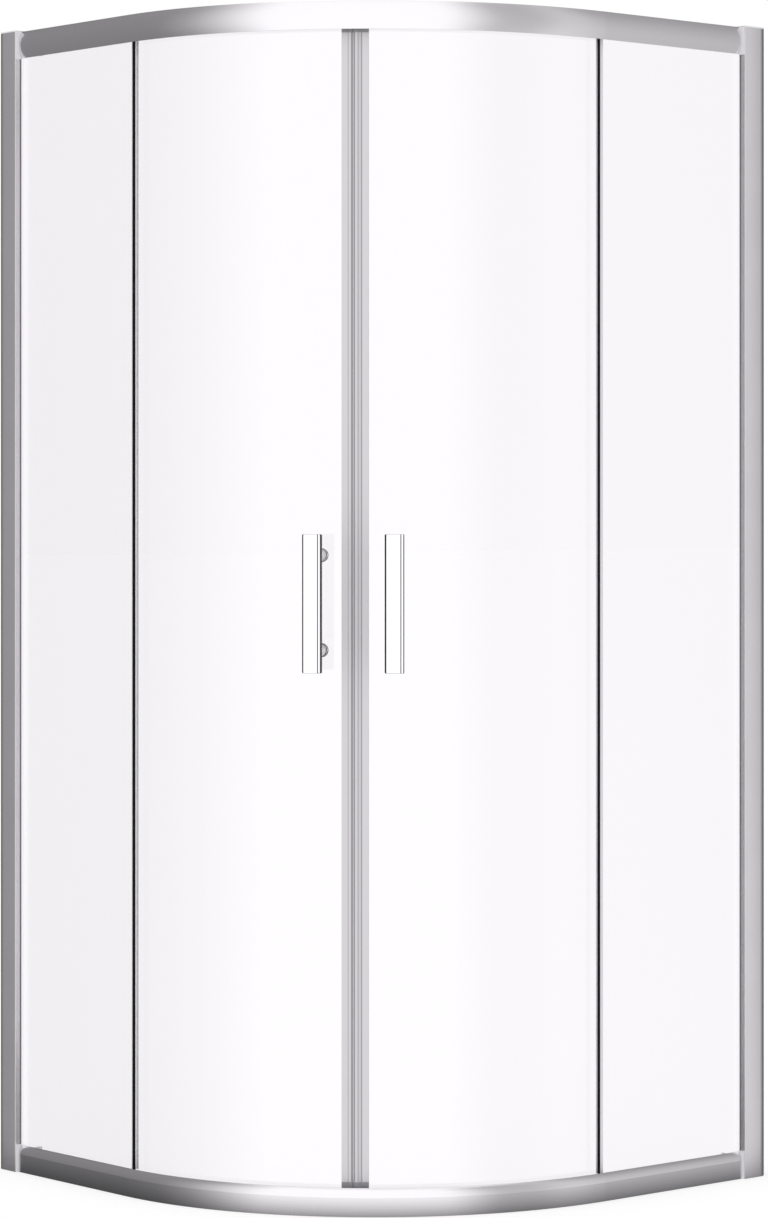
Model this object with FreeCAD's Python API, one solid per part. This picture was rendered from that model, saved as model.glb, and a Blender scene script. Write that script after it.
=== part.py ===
import FreeCAD, Part
import math
import os
from FreeCAD import Vector

# Quadrant shower enclosure, in millimetres. +Z is up and z = 0 is the top of the shower tray.
# The room's corner is at -X +Y: one wall is the plane x = -HALF, the other the plane y = +HALF.
# The origin is under the middle of the overall box. Every piece of the left side is made in the
# left side's own directions and mirrored for the right side:
#   t runs along the rail, 0 where the bend starts, below 0 towards the wall
#   r is the distance from the bend's centre line, measured square to the rail
#   a is the distance from the wall, d the depth behind the post's front face

# Overall sizes
HEIGHT = 1850.0            # tray to the top of the post caps
RAIL_SPAN = 888.0          # wall to the rails' outer face, in both directions
BEND_R = 530.0             # outer face of the rails round the bend
POST_PROUD = 5.0           # post's front face ahead of the rails' outer face

# Rails, both bent aluminium extrusions
RAIL_H = 43.0
RAIL_WALL = 1.5
RAIL_BASE = 2.0            # floor of the bottom rail
TOP_BULGE = 4.5            # rise of the top rail's convex front
NOSE_BACK = 5.2            # bottom rail's front rounds back by this much ...
NOSE_H = 14.0              # ... over this height
FACE_GAP = 0.5             # fixed glass behind the rail's front wall
BEAD_GAP = 1.5             # fixed glass to the web behind it
WEB_SHORT = 7.0            # webs end this far short of the rail's open edge
LIP_H = 4.5                # lip that keeps the bottom wheels in, above the floor
HEADROOM = 2.2             # over the top wheels
PORT_R = 3.4               # outer radius of a screw port
PORT_RISE = 25.5           # lower port of the top rail, above the rail's open edge
PORT_RIB = 2.0

# Glass
GLASS_T = 5.0
DOOR_GAP = 9.0             # fixed glass to door glass
FIXED_PAST = 6.0           # fixed glass runs past the start of the bend
FIXED_TOP_GAP = 4.5        # fixed glass under the top rail's top wall
DOOR_UNDER_LEDGE = 3.5
DOOR_OVER_LIP = 5.5
OVERLAP = 15.5             # closed door behind the fixed glass, with its strip

# Travel of a door, in degrees round the bend, counted from where the bend starts
JOINT_ANGLE = 45.0         # where the doors meet
LEAD_ROLLER = 39.0
TAIL_ROLLER = 18.0
TRAVEL = 26.0

# Clearances
FIT = 0.1                  # between pieces that are clamped together
SHAFT_FIT = 0.05           # round a pin
RUN_GAP = 0.3              # under a wheel, and between the closed doors
RUN_CLEAR = 1.0            # round moving pieces at the end of their travel

# Posts and wall profiles
WALL_GAP = 4.0             # wall to the post
POST_W = 54.0
POST_DEPTH = 34.0          # the rails' tracks reach further into the cabin
POST_ROUND = 19.0          # front corner on the wall side
POST_EDGE = 0.6            # the other corners
POST_WALL = 1.5
REAR_W = 20.5              # rear chamber, beside the wall
REAR_LIP = 5.0             # glazing channel's lip behind the glass, from the channel's floor
GASKET_T = 2.0
GASKET_LIP = 1.0           # gasket shows this much beside the post
CHANNEL_DEPTH = 17.0       # glazing channel of the post
GLASS_IN_POST = 15.0
PROFILE_BASE = 2.0
PROFILE_WALL = 1.5
PROFILE_REACH = 20.0       # wall profile's flanges
PROFILE_FIT = 0.4          # flanges inside the post
WALL_HOLE_R = 3.25
WALL_HOLES = (-750.0, -250.0, 250.0, 750.0)     # about half height
ADJUST_HEIGHTS = (-625.0, 0.0, 625.0)           # about half height
ADJUST_A = 13.0            # adjuster screws' distance from the wall
ADJUST_R = 2.4
ADJUST_HEAD_R = 4.2
ADJUST_HEAD_T = 2.5
ADJUST_L = 10.0            # short of the front flange
COVER_R = 6.5
COVER_T = 4.0
COVER_WALL = 1.2
CAP_T = 2.0                # post top cap
SPIGOT_H = 5.0
SPIGOT_FIT = 0.3

# End caps between rails and posts, and the screws through them
END_CAP_T = 2.0
END_CAP_SET = 1.5          # plate behind the post's front face
END_CAP_EDGE = 1.2         # plate past the rail's open edge
COLLAR_OUT = 1.4           # collar round the rail's front
COLLAR_REACH = 1.6         # and along the rail
RAIL_SCREW_R = 2.1
RAIL_SCREW_HEAD_R = 3.6
RAIL_SCREW_HEAD_T = 2.4
RAIL_SCREW_L = 24.0        # past the post
SCREW_HOLE_FIT = 0.2

# Trims of the fixed glass
TRIM_T = 1.2
BEAD_H = 9.5
BEAD_LIP = 1.4
BLOCK_H = 6.0
BLOCK_L = 30.0
STOP_L = 20.0
STOP_H = 18.0

# Closing strips and tail strips
STRIP_PAST = 3.0           # strips end this far behind the rails' open edges
CLOSING_LINE = 6.0         # left of the bend's middle
LEFT_NOSE_W = 7.0          # magnet pocket, from the closing line
LEFT_NOSE_RISE = 1.2       # its faces bow out past the clip
LEFT_CLIP_L = 10.0         # clip over the glass
RIGHT_NOSE_W = 12.5
RIGHT_NOSE_RISE = 2.6
RIGHT_CLIP_L = 11.5
CLIP_T = 1.3
STRIP_CAP_TOP = 7.0
STRIP_CAP_BOTTOM = 10.0
TAIL_CLIP_L = 8.0
TAIL_END_T = 1.5

# Handles
HANDLE_Z = 932.0
HANDLE_FROM_JOINT = 56.0   # along the door glass
HOLE_PITCH = 145.0
BAR_L = 210.0
BAR_W = 29.5
BAR_T = 10.0
BAR_ROUND = 3.0
STANDOFF = 52.5            # glass to the bar's back
HANDLE_POST_R = 6.5
WASHER_R = 9.0
WASHER_T = 3.0
INNER_CAP_R = 11.0
INNER_CAP_T = 5.0
INNER_CAP_ROUND = 1.5
HANDLE_SCREW_R = 2.5
HANDLE_SCREW_IN = 16.0     # into the post
GLASS_HOLE_R = 6.0

# Rollers
TOP_WHEEL_R = 8.5
LOW_WHEEL_R = 7.0
WHEEL_W = 6.0
WHEEL_PLAY = 0.3           # each side of a wheel
RIM_W = 2.0
RIM_CHAMFER = 0.6
HUB_R = 4.0
WHEEL_RECESS = 0.7
TOP_PIN_R = 2.5
LOW_PIN_R = 2.0
PIN_HEAD_R = 4.0
PIN_HEAD_T = 1.5
COLLAR_R = 4.0
COLLAR_L = 6.0
BRACKET_T = 2.0
BRACKET_W = 24.0
BRACKET_END = 6.0          # bracket past its screws and its axle
BRACKET_ROUND = 4.0
ROLLER_SCREW_R = 2.0
ROLLER_SCREW_HEAD_R = 4.0
ROLLER_SCREW_HEAD_T = 1.8
ROLLER_HOLE_R = 3.5
TOP_SCREW_T = 7.0          # screws either side of the axle
TOP_SCREW_DOWN = 8.0       # below the door glass's top edge
HOUSING_W = 32.0
HOUSING_T = 5.0
HOUSING_Z = 14.0
HOUSING_H = 23.0
HOUSING_SCREW_T = 11.0
HOUSING_SCREW_UP = 11.5
CAVITY_W = 10.4
CAVITY_ROOF = 2.5
CAVITY_BACK = 1.5          # housing wall against the glass
SLOT_W = 7.0
SLOT_LIP = 1.2             # lips that keep the slider in
SLIDER_FIT = 0.2
SLIDER_Z = 5.0
SLIDER_TOP = 22.0
TAB_W = 12.0
TAB_T = 2.0
TAB_OVER_WHEEL = 2.0
SPRING_WIRE_R = 0.25
SPRING_COILS = 8

# Places worked out from the sizes above
HALF = (RAIL_SPAN + POST_PROUD) / 2
FLAT = RAIL_SPAN - BEND_R
CENTRE_X = -HALF + FLAT
CENTRE_Y = HALF - FLAT
UP = Vector(0, 0, 1)
RAIL_TOP = HEIGHT - CAP_T
RAIL_UNDER = RAIL_TOP - RAIL_H
R_POST_FRONT = BEND_R + POST_PROUD
R_FIXED_OUT = BEND_R - TOP_BULGE - RAIL_WALL - FACE_GAP
R_FIXED_IN = R_FIXED_OUT - GLASS_T
R_WEB_OUT = R_FIXED_IN - BEAD_GAP
R_WEB_IN = R_WEB_OUT - RAIL_WALL
R_DOOR_OUT = R_FIXED_IN - DOOR_GAP
R_DOOR_IN = R_DOOR_OUT - GLASS_T
R_DOOR_MID = (R_DOOR_OUT + R_DOOR_IN) / 2
R_BRACKET_OUT = math.sqrt(R_DOOR_IN ** 2 - (HOUSING_W / 2) ** 2) - FIT
R_BRACKET_IN = R_BRACKET_OUT - BRACKET_T
R_WHEEL_OUT = R_BRACKET_IN - COLLAR_L - WHEEL_PLAY
R_WHEEL_IN = R_WHEEL_OUT - WHEEL_W
R_AXLE_END = R_WHEEL_IN - WHEEL_PLAY - PIN_HEAD_T

# An open door turns about the bend's centre, so its tail rollers end up inboard of the straight rail:
# the ledge's edge and the rail's inner wall are set back for that.
PAST_BEND = math.radians(TRAVEL - TAIL_ROLLER)
BRACKET_SPREAD = math.asin(BRACKET_W / 2 / R_BRACKET_IN)
R_LEDGE_EDGE = R_BRACKET_IN * math.cos(PAST_BEND + BRACKET_SPREAD) - RUN_CLEAR / 2
R_INNER_FACE = R_AXLE_END * math.cos(PAST_BEND) - RUN_CLEAR
R_RAIL_IN = R_INNER_FACE - RAIL_WALL
LEDGE_TOP = RAIL_TOP - RAIL_WALL - HEADROOM - 2 * TOP_WHEEL_R - RUN_GAP
LEDGE_UNDER = LEDGE_TOP - RAIL_WALL
TOP_WHEEL_Z = LEDGE_TOP + RUN_GAP + TOP_WHEEL_R
LOW_WHEEL_Z = RAIL_BASE + RUN_GAP + LOW_WHEEL_R
FIXED_Z = RAIL_BASE + BLOCK_H
FIXED_TOP = RAIL_TOP - RAIL_WALL - FIXED_TOP_GAP
DOOR_Z = RAIL_BASE + LIP_H + DOOR_OVER_LIP
DOOR_TOP = LEDGE_UNDER - DOOR_UNDER_LEDGE
STRIP_Z = RAIL_H - STRIP_PAST
STRIP_TOP = RAIL_UNDER + STRIP_PAST

# Depths behind the post's front face
D_CHANNEL = R_POST_FRONT - R_FIXED_OUT - GASKET_T - FIT
D_CHANNEL_END = R_POST_FRONT - R_FIXED_IN + GASKET_T + FIT
A_POST = WALL_GAP + POST_W
A_REAR = WALL_GAP + REAR_W
A_CHANNEL = A_POST - CHANNEL_DEPTH
A_LIP = A_CHANNEL + REAR_LIP
D_RIB = POST_ROUND + POST_WALL
A_GLASS = A_POST - GLASS_IN_POST
A_RAIL = A_POST + END_CAP_T
R_PORT = R_POST_FRONT - D_RIB - RAIL_SCREW_HEAD_R - SPIGOT_FIT
TOP_PORTS = (RAIL_TOP - RAIL_WALL - PORT_R + FIT, RAIL_UNDER + PORT_RISE)
BOTTOM_PORTS = (RAIL_BASE + PORT_R - FIT,)


def spot(t, r, z):
    """Point t along the left rail, r from the bend's centre line, z above the tray."""
    return Vector(CENTRE_X + t, CENTRE_Y - r, z)


def rail_plane(r, z):
    return spot(0, r, z)


def post_plane(a, d):
    return Vector(-HALF + a, -HALF + d, 0)


def turned(shape, angle):
    """The shape turned round the bend by an angle, from the left rail towards the right one."""
    moved = shape.copy()
    moved.rotate(Vector(CENTRE_X, CENTRE_Y, 0), UP, angle)
    return moved


def mirrored(shape):
    """The left side's shape on the right side, across the enclosure's diagonal."""
    return shape.mirror(Vector(0, 0, 0), Vector(1, 1, 0))


def lifted(shape, z):
    return shape.translated(Vector(0, 0, z))


def face(plane, path):
    """Flat face round a path: (u, v) ends a straight run, (mu, mv, u, v) an arc through mu, mv."""
    corners = [plane(*step[-2:]) for step in path]
    edges = []
    for before, after, step in zip(corners, corners[1:] + corners[:1], path[1:] + path[:1]):
        if len(step) == 4:
            edges.append(Part.Arc(before, plane(*step[:2]), after).toShape())
        else:
            edges.append(Part.makeLine(before, after))
    return Part.Face(Part.Wire(edges))


def rail_rectangle(r_in, r_out, z_low, z_high):
    return face(rail_plane, [(r_in, z_low), (r_out, z_low), (r_out, z_high), (r_in, z_high)])


def disc(r, z, radius):
    ring = Part.makeCircle(radius, rail_plane(r, z), Vector(1, 0, 0))
    return Part.Face(Part.Wire(ring))


def straight(section, t_start, t_end):
    """A rail-plane section drawn out along the straight part."""
    start = section.translated(Vector(t_start, 0, 0))
    return start.extrude(Vector(t_end - t_start, 0, 0))


def bent(section, first, last):
    """A rail-plane section drawn round the bend between two angles."""
    return turned(section, first).revolve(Vector(CENTRE_X, CENTRE_Y, 0), UP, last - first)


def whole_rail(section):
    """A rail: straight, round the bend, and straight again."""
    left = straight(section, A_RAIL - FLAT, 0)
    return left.fuse([bent(section, 0, 90), mirrored(left)]).removeSplitter()


def block(t_low, t_high, r_in, r_out, z_low, z_high):
    corner = spot(t_low, r_out, z_low)
    return Part.makeBox(t_high - t_low, r_out - r_in, z_high - z_low, corner)


def rod(radius, r_in, r_out, t, z):
    """Round bar that points at the bend's centre line."""
    return Part.makeCylinder(radius, r_out - r_in, spot(t, r_in, z), Vector(0, -1, 0))


def on_both_sides(name, *solids):
    """The piece for the left side, and its mirror image for the right side."""
    shape = solids[0] if len(solids) == 1 else Part.makeCompound(list(solids))
    pieces["left_" + name] = shape
    pieces["right_" + name] = mirrored(shape)


def for_both_sides(solids):
    """The left side's solids and their mirror images, for one node that holds them all."""
    return Part.makeCompound([s for solid in solids for s in (solid, mirrored(solid))])


def degrees(length, radius):
    return math.degrees(length / radius)


def top_front(grow=0):
    """Outer line of the top rail's convex front, from its open edge up to its top."""
    r = BEND_R + grow
    middle = RAIL_UNDER + RAIL_H / 2
    return [(r - TOP_BULGE, RAIL_UNDER), (r, middle, r - TOP_BULGE, RAIL_TOP)]


def nose(r, back):
    """Arc of the bottom rail's nose: it leaves the upright face at r smoothly and ends back from it."""
    radius = (back ** 2 + NOSE_H ** 2) / (2 * back)
    half_turn = math.asin(NOSE_H / radius) / 2
    middle = (r - radius * (1 - math.cos(half_turn)), RAIL_H - NOSE_H + radius * math.sin(half_turn))
    return (*middle, r - back, RAIL_H)


def bottom_front(grow=0):
    """Outer line of the bottom rail's front: up from the tray, then rounding back."""
    r = BEND_R + grow
    return [(r, 0), (r, RAIL_H - NOSE_H), nose(r, NOSE_BACK)]


def with_ports(section, heights, ribs=()):
    """A rail section with round screw ports, and ribs that tie them to the web."""
    bosses = [disc(R_PORT, z, PORT_R) for z in heights]
    solid = section.fuse(bosses + list(ribs)).removeSplitter()
    return solid.cut([disc(R_PORT, z, RAIL_SCREW_R + SHAFT_FIT) for z in heights]).Faces[0]


def make_top_rail():
    bow_r = ((RAIL_H / 2) ** 2 + TOP_BULGE ** 2) / (2 * TOP_BULGE)
    inner_r = bow_r - RAIL_WALL
    middle = RAIL_UNDER + RAIL_H / 2
    roof = RAIL_TOP - RAIL_WALL
    web_end = RAIL_UNDER + WEB_SHORT

    def inside(z):
        return BEND_R - bow_r + math.sqrt(inner_r ** 2 - (z - middle) ** 2)

    section = face(rail_plane, top_front() + [
        (R_RAIL_IN, RAIL_TOP), (R_RAIL_IN, LEDGE_UNDER),
        (R_LEDGE_EDGE, LEDGE_UNDER), (R_LEDGE_EDGE, LEDGE_TOP), (R_INNER_FACE, LEDGE_TOP),
        (R_INNER_FACE, roof), (R_WEB_IN, roof), (R_WEB_IN, web_end), (R_WEB_OUT, web_end),
        (R_WEB_OUT, roof), (inside(roof), roof),
        (BEND_R - RAIL_WALL, middle, inside(RAIL_UNDER), RAIL_UNDER)])
    low_port = TOP_PORTS[1]
    rib = rail_rectangle(R_PORT, R_WEB_IN, low_port - PORT_RIB / 2, low_port + PORT_RIB / 2)
    return whole_rail(with_ports(section, TOP_PORTS, [rib]))


def make_bottom_rail():
    r_wall = BEND_R - RAIL_WALL
    inner_nose = nose(r_wall, r_wall - R_FIXED_OUT - FIT)
    lip_top = RAIL_BASE + LIP_H
    web_top = RAIL_H - WEB_SHORT
    section = face(rail_plane, bottom_front() + [
        inner_nose[2:], (*inner_nose[:2], r_wall, RAIL_H - NOSE_H), (r_wall, RAIL_BASE),
        (R_WEB_OUT, RAIL_BASE), (R_WEB_OUT, web_top), (R_WEB_IN, web_top), (R_WEB_IN, RAIL_BASE),
        (R_INNER_FACE, RAIL_BASE), (R_INNER_FACE, lip_top), (R_RAIL_IN, lip_top), (R_RAIL_IN, 0)])
    return whole_rail(with_ports(section, BOTTOM_PORTS))


def end_cap(front, z_low, z_high, rear_low, rear_high, slot_low, slot_high, ports):
    """Moulded block between a rail and the post: a plate with a collar round the rail's front and a slot for
    the glass, and behind the glass a spacer that reaches back to the post's rear chamber."""
    t_post, t_rail = A_POST - FLAT, A_RAIL - FLAT
    plate = block(t_post, t_rail, R_FIXED_IN, R_POST_FRONT - END_CAP_SET, z_low, z_high)
    rear = block(t_post, t_rail, R_RAIL_IN, R_FIXED_IN, rear_low, rear_high)
    r_rear, r_rib = R_POST_FRONT - POST_DEPTH, R_POST_FRONT - D_RIB - FIT
    spacer = block(A_REAR - FLAT, t_post, r_rear, r_rib, rear_low, rear_high)
    plate = plate.fuse([rear, spacer])
    bands = []
    for grow in (COLLAR_OUT, FIT):
        outline = face(rail_plane, front(grow) + [(R_FIXED_OUT, z_high), (R_FIXED_OUT, z_low)])
        bands.append(straight(outline, t_rail, t_rail + COLLAR_REACH))
    collar = bands[0].cut(bands[1])
    slot = block(t_post, t_rail, R_FIXED_IN - SPIGOT_FIT, R_FIXED_OUT + SPIGOT_FIT, slot_low, slot_high)
    return plate.cut([slot] + [rail_screw_hole(z) for z in ports]).fuse(collar).removeSplitter()


def along_rail(radius, t_start, length, z):
    return Part.makeCylinder(radius, length, spot(t_start, R_PORT, z), Vector(1, 0, 0))


def rail_screw_hole(z):
    """Clearance hole through the rear chamber's side wall and the end cap."""
    start = A_REAR - POST_WALL - FLAT
    return along_rail(RAIL_SCREW_R + SCREW_HOLE_FIT, start, A_RAIL - A_REAR + POST_WALL, z)


def rail_screw(z):
    """Self-tapping screw, its head inside the rear chamber and its thread in the rail's port."""
    seat = A_REAR - POST_WALL - FLAT
    head = along_rail(RAIL_SCREW_HEAD_R, seat - RAIL_SCREW_HEAD_T, RAIL_SCREW_HEAD_T, z)
    return head.fuse(along_rail(RAIL_SCREW_R, seat, A_POST - A_REAR + RAIL_SCREW_L, z))


def rounded_corner(a, d, sign_a, sign_d, radius):
    """Path steps for a convex corner at (a, d); signs say which way the solid lies from it."""
    bow = radius * (1 - math.sqrt(0.5))
    return (a + sign_a * bow, d + sign_d * bow)


def post_outline(a_open):
    """The post's outer line: its front, from the wall to the cabin side, and the back of its rear chamber."""
    front = (WALL_GAP, POST_ROUND)
    back = POST_DEPTH
    return [(a_open, POST_ROUND), front,
            (*rounded_corner(WALL_GAP, 0, 1, 1, POST_ROUND), WALL_GAP + POST_ROUND, 0),
            (A_POST - POST_EDGE, 0),
            (*rounded_corner(A_POST, 0, -1, 1, POST_EDGE), A_POST, POST_EDGE)], [
            (A_REAR, back - POST_EDGE),
            (*rounded_corner(A_REAR, back, -1, -1, POST_EDGE), A_REAR - POST_EDGE, back),
            (a_open, back)]


def make_post():
    """Hollow extrusion: closed front chamber, glazing channel, and rear chamber for the wall profile."""
    front, back = post_outline(WALL_GAP)
    wall = POST_WALL
    channel_wall = A_CHANNEL - wall
    outer = face(post_plane, front[1:] + [
        (A_POST, D_CHANNEL), (A_CHANNEL, D_CHANNEL), (A_CHANNEL, D_CHANNEL_END), (A_LIP, D_CHANNEL_END),
        (A_LIP, D_RIB), (A_REAR, D_RIB), *back, (WALL_GAP, POST_DEPTH - wall),
        (A_REAR - wall, POST_DEPTH - wall), (A_REAR - wall, D_RIB), (WALL_GAP, D_RIB)])
    inner_round = POST_ROUND - wall
    chamber = face(post_plane, [
        (WALL_GAP + wall, POST_ROUND),
        (*rounded_corner(WALL_GAP + wall, wall, 1, 1, inner_round), WALL_GAP + POST_ROUND, wall),
        (A_POST - wall, wall), (A_POST - wall, D_CHANNEL - wall), (channel_wall, D_CHANNEL - wall),
        (channel_wall, POST_ROUND)])
    post = outer.cut(chamber).Faces[0].extrude(UP * RAIL_TOP)
    holes = [rail_screw_hole(z) for z in TOP_PORTS + BOTTOM_PORTS]
    return post.cut(holes + [adjuster_hole(z) for z in ADJUST_HEIGHTS])


def through_depth(radius, a, d_start, length, z):
    base = post_plane(a, d_start) + UP * (HEIGHT / 2 + z)
    return Part.makeCylinder(radius, length, base, Vector(0, 1, 0))


def adjuster_hole(z):
    """Hole for an adjuster screw through the post's cabin wall and the wall profile's flange."""
    length = POST_WALL + PROFILE_FIT + PROFILE_WALL
    return through_depth(ADJUST_R + SHAFT_FIT, ADJUST_A, POST_DEPTH - length, length, z)


def adjuster_screw(z):
    shank = through_depth(ADJUST_R, ADJUST_A, POST_DEPTH - ADJUST_L, ADJUST_L, z)
    return shank.fuse(through_depth(ADJUST_HEAD_R, ADJUST_A, POST_DEPTH, ADJUST_HEAD_T, z))


def cover_cap(z):
    """Snap-on cover over an adjuster screw's head."""
    dome = through_depth(COVER_R, ADJUST_A, POST_DEPTH, COVER_T, z)
    rim = dome.Edges[0] if dome.Edges[0].Vertexes[0].Point.y > dome.CenterOfMass.y else dome.Edges[2]
    dome = dome.makeFillet(COVER_WALL, [rim])
    return dome.cut(through_depth(COVER_R - COVER_WALL, ADJUST_A, POST_DEPTH, ADJUST_HEAD_T + FIT, z))


def make_wall_profile():
    """U channel screwed to the wall; its flanges slide inside the post."""
    d_front = POST_ROUND + POST_WALL + PROFILE_FIT
    d_back = POST_DEPTH - POST_WALL - PROFILE_FIT
    channel = face(post_plane, [
        (0, d_front), (PROFILE_REACH, d_front), (PROFILE_REACH, d_front + PROFILE_WALL),
        (PROFILE_BASE, d_front + PROFILE_WALL), (PROFILE_BASE, d_back - PROFILE_WALL),
        (PROFILE_REACH, d_back - PROFILE_WALL), (PROFILE_REACH, d_back), (0, d_back)])
    profile = channel.extrude(UP * RAIL_TOP)
    middle = (d_front + d_back) / 2
    wall_holes = [Part.makeCylinder(WALL_HOLE_R, PROFILE_BASE,
                                    post_plane(0, middle) + UP * (HEIGHT / 2 + z), Vector(1, 0, 0))
                  for z in WALL_HOLES]
    return profile.cut(wall_holes + [adjuster_hole(z) for z in ADJUST_HEIGHTS])


def make_post_cap():
    """Moulded cap on the post and the wall profile, with a spigot in the post's front chamber."""
    front, back = post_outline(0)
    outline = front + [(A_POST, D_RIB), (A_REAR, D_RIB)] + back
    plate = lifted(face(post_plane, outline).extrude(UP * CAP_T), RAIL_TOP)
    low, high = POST_WALL + SPIGOT_FIT, D_CHANNEL - POST_WALL - SPIGOT_FIT
    spigot = face(post_plane, [(WALL_GAP + POST_ROUND, low), (A_POST - low, low),
                               (A_POST - low, high), (WALL_GAP + POST_ROUND, high)])
    return plate.fuse(lifted(spigot.extrude(UP * SPIGOT_H), RAIL_TOP - SPIGOT_H)).removeSplitter()


def make_post_gasket():
    """Rubber U round the fixed glass in the post; its front lip shows beside the post, between the rails."""
    d_low, d_high = D_CHANNEL + FIT, D_CHANNEL_END - FIT
    d_glass, d_glass_end = R_POST_FRONT - R_FIXED_OUT, R_POST_FRONT - R_FIXED_IN
    base = A_CHANNEL + FIT
    legs = face(post_plane, [
        (base, d_low), (A_POST - FIT, d_low), (A_POST - FIT, d_glass - FIT), (A_GLASS - FIT, d_glass - FIT),
        (A_GLASS - FIT, d_glass_end + FIT), (A_LIP, d_glass_end + FIT), (A_LIP, d_high),
        (base, d_high)])
    gasket = lifted(legs.extrude(UP * (FIXED_TOP - FIXED_Z)), FIXED_Z)
    show_low = RAIL_H + END_CAP_EDGE + FIT
    show_high = RAIL_UNDER - END_CAP_EDGE - FIT
    lip = face(post_plane, [(A_POST - FIT, d_low), (A_POST + GASKET_LIP, d_low),
                            (A_POST + GASKET_LIP, d_glass - FIT), (A_POST - FIT, d_glass - FIT)])
    return gasket.fuse(lifted(lip.extrude(UP * (show_high - show_low)), show_low)).removeSplitter()


def glazing_beads():
    """PVC strips between the fixed glass and the rails' webs, hooked over the webs' edges."""
    t_start, t_end = A_RAIL - FLAT, FIXED_PAST
    r_body, r_glass, r_hook = R_WEB_OUT + FIT, R_FIXED_IN - FIT, R_WEB_IN
    low_edge = RAIL_H - WEB_SHORT + FIT
    high_edge = RAIL_UNDER + WEB_SHORT - FIT
    low = face(rail_plane, [
        (r_body, low_edge + BEAD_LIP - BEAD_H), (r_glass, low_edge + BEAD_LIP - BEAD_H),
        (r_glass, low_edge + BEAD_LIP), (r_hook, low_edge + BEAD_LIP), (r_hook, low_edge), (r_body, low_edge)])
    high = face(rail_plane, [
        (r_body, high_edge - BEAD_LIP + BEAD_H), (r_glass, high_edge - BEAD_LIP + BEAD_H),
        (r_glass, high_edge - BEAD_LIP), (r_hook, high_edge - BEAD_LIP), (r_hook, high_edge),
        (r_body, high_edge)])
    return [straight(section, t_start, t_end) for section in (low, high)]


def setting_blocks():
    """Rubber blocks that the fixed glass stands on in the bottom rail."""
    t_glass = A_GLASS - FLAT
    width = FIXED_PAST - t_glass
    blocks = []
    for share in (0.25, 0.75):
        middle = t_glass + share * width
        blocks.append(block(middle - BLOCK_L / 2, middle + BLOCK_L / 2,
                            R_FIXED_IN + FIT, R_FIXED_OUT - FIT, RAIL_BASE, FIXED_Z))
    return blocks


def door_stop():
    """Rubber-faced block on the top rail's ledge that the tail wheel meets when the door is open."""
    reach = (R_WHEEL_IN + WHEEL_W / 2) * math.sin(PAST_BEND) + TOP_WHEEL_R + RUN_GAP
    return block(-reach - STOP_L, -reach, R_INNER_FACE, R_LEDGE_EDGE - 2 * RUN_CLEAR,
                 LEDGE_TOP, LEDGE_TOP + STOP_H)


def door_plane(u, r):
    """Point u short of the bend's middle, before the piece is turned there."""
    return spot(-u, r, 0)


def closing_strip(strip, z_low, z_high):
    """Magnetic strip: a pocket for the magnet with bowed faces, and a clip over the glass."""
    line, nose_w, rise, clip_l = strip
    nose = line + nose_w
    middle = line + nose_w / 2
    r_in, r_out = R_DOOR_IN - CLIP_T, R_DOOR_OUT + CLIP_T
    section = face(door_plane, [(middle, r_in - rise, line, r_in), (line, r_out),
                                (middle, r_out + rise, nose, r_out), (nose, r_in)])
    pocket = turned(lifted(section.extrude(UP * (z_high - z_low)), z_low), JOINT_ANGLE)
    clip_end = JOINT_ANGLE - degrees(nose + clip_l, R_DOOR_MID)
    band = bent(rail_rectangle(r_in, r_out, z_low, z_high), clip_end,
                JOINT_ANGLE - degrees(nose - CLIP_T, R_DOOR_MID))
    groove = bent(rail_rectangle(R_DOOR_IN - FIT, R_DOOR_OUT + FIT, z_low, z_high), clip_end,
                  JOINT_ANGLE - degrees(nose + CLIP_T - FIT, R_DOOR_MID))
    return pocket.fuse(band).cut(groove).removeSplitter()


def tail_strip():
    """PVC profile over the door glass's trailing edge."""
    end = TAIL_ANGLE - degrees(TAIL_END_T, R_DOOR_MID)
    clip = end + degrees(TAIL_CLIP_L, R_DOOR_MID)
    band = bent(rail_rectangle(R_DOOR_IN - CLIP_T, R_DOOR_OUT + CLIP_T, STRIP_Z, STRIP_TOP), end, clip)
    glass = bent(rail_rectangle(R_DOOR_IN - FIT, R_DOOR_OUT + FIT, STRIP_Z, STRIP_TOP),
                 TAIL_ANGLE - degrees(FIT, R_DOOR_MID), clip)
    return band.cut(glass)


def handle_heights():
    return (HANDLE_Z - HOLE_PITCH / 2, HANDLE_Z + HOLE_PITCH / 2)


def door_glass(strip):
    """Curved toughened glass with holes for the handle and the rollers' screws."""
    line, nose_w = strip[:2]
    pane = bent(rail_rectangle(R_DOOR_IN, R_DOOR_OUT, DOOR_Z, DOOR_TOP), TAIL_ANGLE,
                JOINT_ANGLE - degrees(line + nose_w + CLIP_T, R_DOOR_MID))
    reach = R_DOOR_IN - GLASS_T, R_DOOR_OUT + GLASS_T
    holes = [turned(rod(GLASS_HOLE_R, *reach, 0, z), HANDLE_ANGLE) for z in handle_heights()]
    for angle in ROLLER_ANGLES:
        for t, z in TOP_SCREWS + LOW_SCREWS:
            holes.append(turned(rod(ROLLER_HOLE_R, *reach, t, z), angle))
    return pane.cut(holes)


def handle_bar():
    r_back = R_DOOR_OUT + STANDOFF
    bar = block(-BAR_W / 2, BAR_W / 2, r_back, r_back + BAR_T, HANDLE_Z - BAR_L / 2, HANDLE_Z + BAR_L / 2)
    return bar.makeFillet(BAR_ROUND, bar.Edges)


def handle_post(z):
    r_foot = R_DOOR_OUT + FIT + WASHER_T
    post = rod(HANDLE_POST_R, r_foot, R_DOOR_OUT + STANDOFF, 0, z)
    return post.cut(rod(HANDLE_SCREW_R + SHAFT_FIT, r_foot, r_foot + HANDLE_SCREW_IN, 0, z))


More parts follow.
